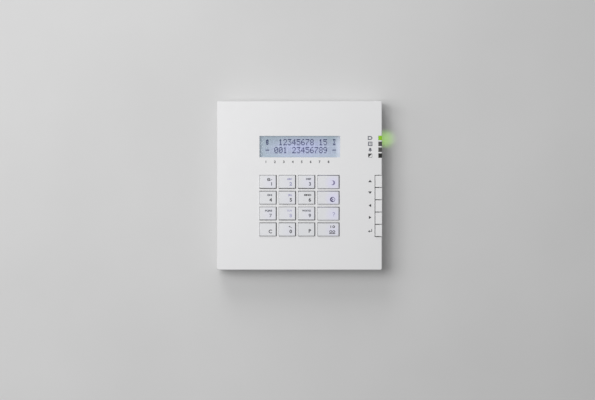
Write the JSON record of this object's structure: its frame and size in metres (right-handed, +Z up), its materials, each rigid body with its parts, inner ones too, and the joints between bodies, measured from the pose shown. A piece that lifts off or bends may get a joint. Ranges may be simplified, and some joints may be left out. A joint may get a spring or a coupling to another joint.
{
  "type": "alarm keypad panel",
  "caption": "Square wall-mounted alarm keypad with a character display, numbered press keys, keys wrapped over one edge, status lights and a hinged front on a wall base.",
  "frame": {"origin": "centre of the wall base's back face, on the wall plane", "axes": "+X to the viewer's right, +Z up, +Y into the wall; the front face looks along -Y"},
  "size_m": [0.131, 0.023, 0.134],
  "materials": {
    "cover_white": "satin fine-textured white ABS",
    "base_white": "matt white ABS",
    "key_white": "satin white, slightly translucent",
    "window_clear": "clear polished acrylic",
    "lcd_glass": "backlit liquid-crystal glass",
    "lcd_frame": "black painted steel",
    "diffuser_white": "milky diffuser",
    "board_green": "solder mask over glass-epoxy board",
    "black_plastic": "moulded black plastic",
    "silicone": "translucent silicone rubber",
    "carbon": "conductive carbon rubber",
    "gold_plate": "gold flashed copper",
    "led_cream": "small LED package",
    "lens_green": "lit translucent light guide",
    "lens_dark": "unlit smoked light guide",
    "tinned": "tinned metal",
    "steel": "zinc-plated steel",
    "can_aluminium": "aluminium can",
    "ceramic": "ceramic chip parts",
    "terminal_green": "green polyamide",
    "trimmer_blue": "blue plastic",
    "tamper_white": "white acetal"
  },
  "bodies": {
    "base": {"wall_base": "base_white"},
    "front_unit": {"front_cover": "cover_white", "display_window": "window_clear", "display_frame": "lcd_frame", "display_glass": "lcd_glass", "display_backlight": "diffuser_white", "display_board": "board_green", "display_pin_header": "tinned", "main_board": "board_green", "board_screws": "steel", "keymat": "silicone", "edge_keymat": "silicone", "contact_pills": "carbon", "contact_pads": "gold_plate", "backlight_leds": "led_cream", "status_leds": "led_cream", "status_lens_1": "lens_green", "status_lens_2": "lens_dark", "status_lens_3": "lens_dark", "status_lens_4": "lens_dark", "chip_packages": "black_plastic", "chip_leads": "tinned", "chip_components": "ceramic", "electrolytic_capacitors": "can_aluminium", "crystal": "can_aluminium", "buzzer": "black_plastic", "terminal_block": "terminal_green", "terminal_screws": "steel", "contrast_trimmer": "trimmer_blue", "tamper_switch": "black_plastic", "tamper_spring": "steel"},
    "key_1": {"key_1": "key_white"},
    "key_2": {"key_2": "key_white"},
    "key_3": {"key_3": "key_white"},
    "key_4": {"key_4": "key_white"},
    "key_5": {"key_5": "key_white"},
    "key_6": {"key_6": "key_white"},
    "key_7": {"key_7": "key_white"},
    "key_8": {"key_8": "key_white"},
    "key_9": {"key_9": "key_white"},
    "key_clear": {"key_clear": "key_white"},
    "key_0": {"key_0": "key_white"},
    "key_program": {"key_program": "key_white"},
    "key_night": {"key_night": "key_white"},
    "key_record": {"key_record": "key_white"},
    "key_help": {"key_help": "key_white"},
    "key_on": {"key_on": "key_white"},
    "edge_key_up": {"edge_key_up": "key_white"},
    "edge_key_down": {"edge_key_down": "key_white"},
    "edge_key_left": {"edge_key_left": "key_white"},
    "edge_key_right": {"edge_key_right": "key_white"},
    "edge_key_enter": {"edge_key_enter": "key_white"},
    "tamper_plunger": {"tamper_plunger": "tamper_white"}
  },
  "joints": [
    {"name": "cover_hinge", "type": "hinge", "parent": "base", "child": "front_unit", "pos_m": [0, -0.005, 0.0625], "axis": [-1, 0, 0], "range_deg": [0, 30]},
    {"name": "key_1_press", "type": "slide", "parent": "front_unit", "child": "key_1", "axis": [0, 1, 0], "range_m": [0, 0.001], "stiffness_N_per_m": 700, "springref_m": -0.0006, "deforming": ["keymat"]},
    {"name": "key_2_press", "type": "slide", "parent": "front_unit", "child": "key_2", "axis": [0, 1, 0], "range_m": [0, 0.001], "stiffness_N_per_m": 700, "springref_m": -0.0006, "deforming": ["keymat"]},
    {"name": "key_3_press", "type": "slide", "parent": "front_unit", "child": "key_3", "axis": [0, 1, 0], "range_m": [0, 0.001], "stiffness_N_per_m": 700, "springref_m": -0.0006, "deforming": ["keymat"]},
    {"name": "key_4_press", "type": "slide", "parent": "front_unit", "child": "key_4", "axis": [0, 1, 0], "range_m": [0, 0.001], "stiffness_N_per_m": 700, "springref_m": -0.0006, "deforming": ["keymat"]},
    {"name": "key_5_press", "type": "slide", "parent": "front_unit", "child": "key_5", "axis": [0, 1, 0], "range_m": [0, 0.001], "stiffness_N_per_m": 700, "springref_m": -0.0006, "deforming": ["keymat"]},
    {"name": "key_6_press", "type": "slide", "parent": "front_unit", "child": "key_6", "axis": [0, 1, 0], "range_m": [0, 0.001], "stiffness_N_per_m": 700, "springref_m": -0.0006, "deforming": ["keymat"]},
    {"name": "key_7_press", "type": "slide", "parent": "front_unit", "child": "key_7", "axis": [0, 1, 0], "range_m": [0, 0.001], "stiffness_N_per_m": 700, "springref_m": -0.0006, "deforming": ["keymat"]},
    {"name": "key_8_press", "type": "slide", "parent": "front_unit", "child": "key_8", "axis": [0, 1, 0], "range_m": [0, 0.001], "stiffness_N_per_m": 700, "springref_m": -0.0006, "deforming": ["keymat"]},
    {"name": "key_9_press", "type": "slide", "parent": "front_unit", "child": "key_9", "axis": [0, 1, 0], "range_m": [0, 0.001], "stiffness_N_per_m": 700, "springref_m": -0.0006, "deforming": ["keymat"]},
    {"name": "key_clear_press", "type": "slide", "parent": "front_unit", "child": "key_clear", "axis": [0, 1, 0], "range_m": [0, 0.001], "stiffness_N_per_m": 700, "springref_m": -0.0006, "deforming": ["keymat"]},
    {"name": "key_0_press", "type": "slide", "parent": "front_unit", "child": "key_0", "axis": [0, 1, 0], "range_m": [0, 0.001], "stiffness_N_per_m": 700, "springref_m": -0.0006, "deforming": ["keymat"]},
    {"name": "key_program_press", "type": "slide", "parent": "front_unit", "child": "key_program", "axis": [0, 1, 0], "range_m": [0, 0.001], "stiffness_N_per_m": 700, "springref_m": -0.0006, "deforming": ["keymat"]},
    {"name": "key_night_press", "type": "slide", "parent": "front_unit", "child": "key_night", "axis": [0, 1, 0], "range_m": [0, 0.001], "stiffness_N_per_m": 700, "springref_m": -0.0006, "deforming": ["keymat"]},
    {"name": "key_record_press", "type": "slide", "parent": "front_unit", "child": "key_record", "axis": [0, 1, 0], "range_m": [0, 0.001], "stiffness_N_per_m": 700, "springref_m": -0.0006, "deforming": ["keymat"]},
    {"name": "key_help_press", "type": "slide", "parent": "front_unit", "child": "key_help", "axis": [0, 1, 0], "range_m": [0, 0.001], "stiffness_N_per_m": 700, "springref_m": -0.0006, "deforming": ["keymat"]},
    {"name": "key_on_press", "type": "slide", "parent": "front_unit", "child": "key_on", "axis": [0, 1, 0], "range_m": [0, 0.001], "stiffness_N_per_m": 700, "springref_m": -0.0006, "deforming": ["keymat"]},
    {"name": "edge_key_up_press", "type": "slide", "parent": "front_unit", "child": "edge_key_up", "axis": [0, 1, 0], "range_m": [0, 0.001], "stiffness_N_per_m": 700, "springref_m": -0.0006, "deforming": ["edge_keymat"]},
    {"name": "edge_key_down_press", "type": "slide", "parent": "front_unit", "child": "edge_key_down", "axis": [0, 1, 0], "range_m": [0, 0.001], "stiffness_N_per_m": 700, "springref_m": -0.0006, "deforming": ["edge_keymat"]},
    {"name": "edge_key_left_press", "type": "slide", "parent": "front_unit", "child": "edge_key_left", "axis": [0, 1, 0], "range_m": [0, 0.001], "stiffness_N_per_m": 700, "springref_m": -0.0006, "deforming": ["edge_keymat"]},
    {"name": "edge_key_right_press", "type": "slide", "parent": "front_unit", "child": "edge_key_right", "axis": [0, 1, 0], "range_m": [0, 0.001], "stiffness_N_per_m": 700, "springref_m": -0.0006, "deforming": ["edge_keymat"]},
    {"name": "edge_key_enter_press", "type": "slide", "parent": "front_unit", "child": "edge_key_enter", "axis": [0, 1, 0], "range_m": [0, 0.001], "stiffness_N_per_m": 700, "springref_m": -0.0006, "deforming": ["edge_keymat"]},
    {"name": "tamper_release", "type": "slide", "parent": "front_unit", "child": "tamper_plunger", "axis": [0, 1, 0], "range_m": [0, 0.002], "stiffness_N_per_m": 120, "springref_m": 0.003, "deforming": ["tamper_spring"]}
  ]
}
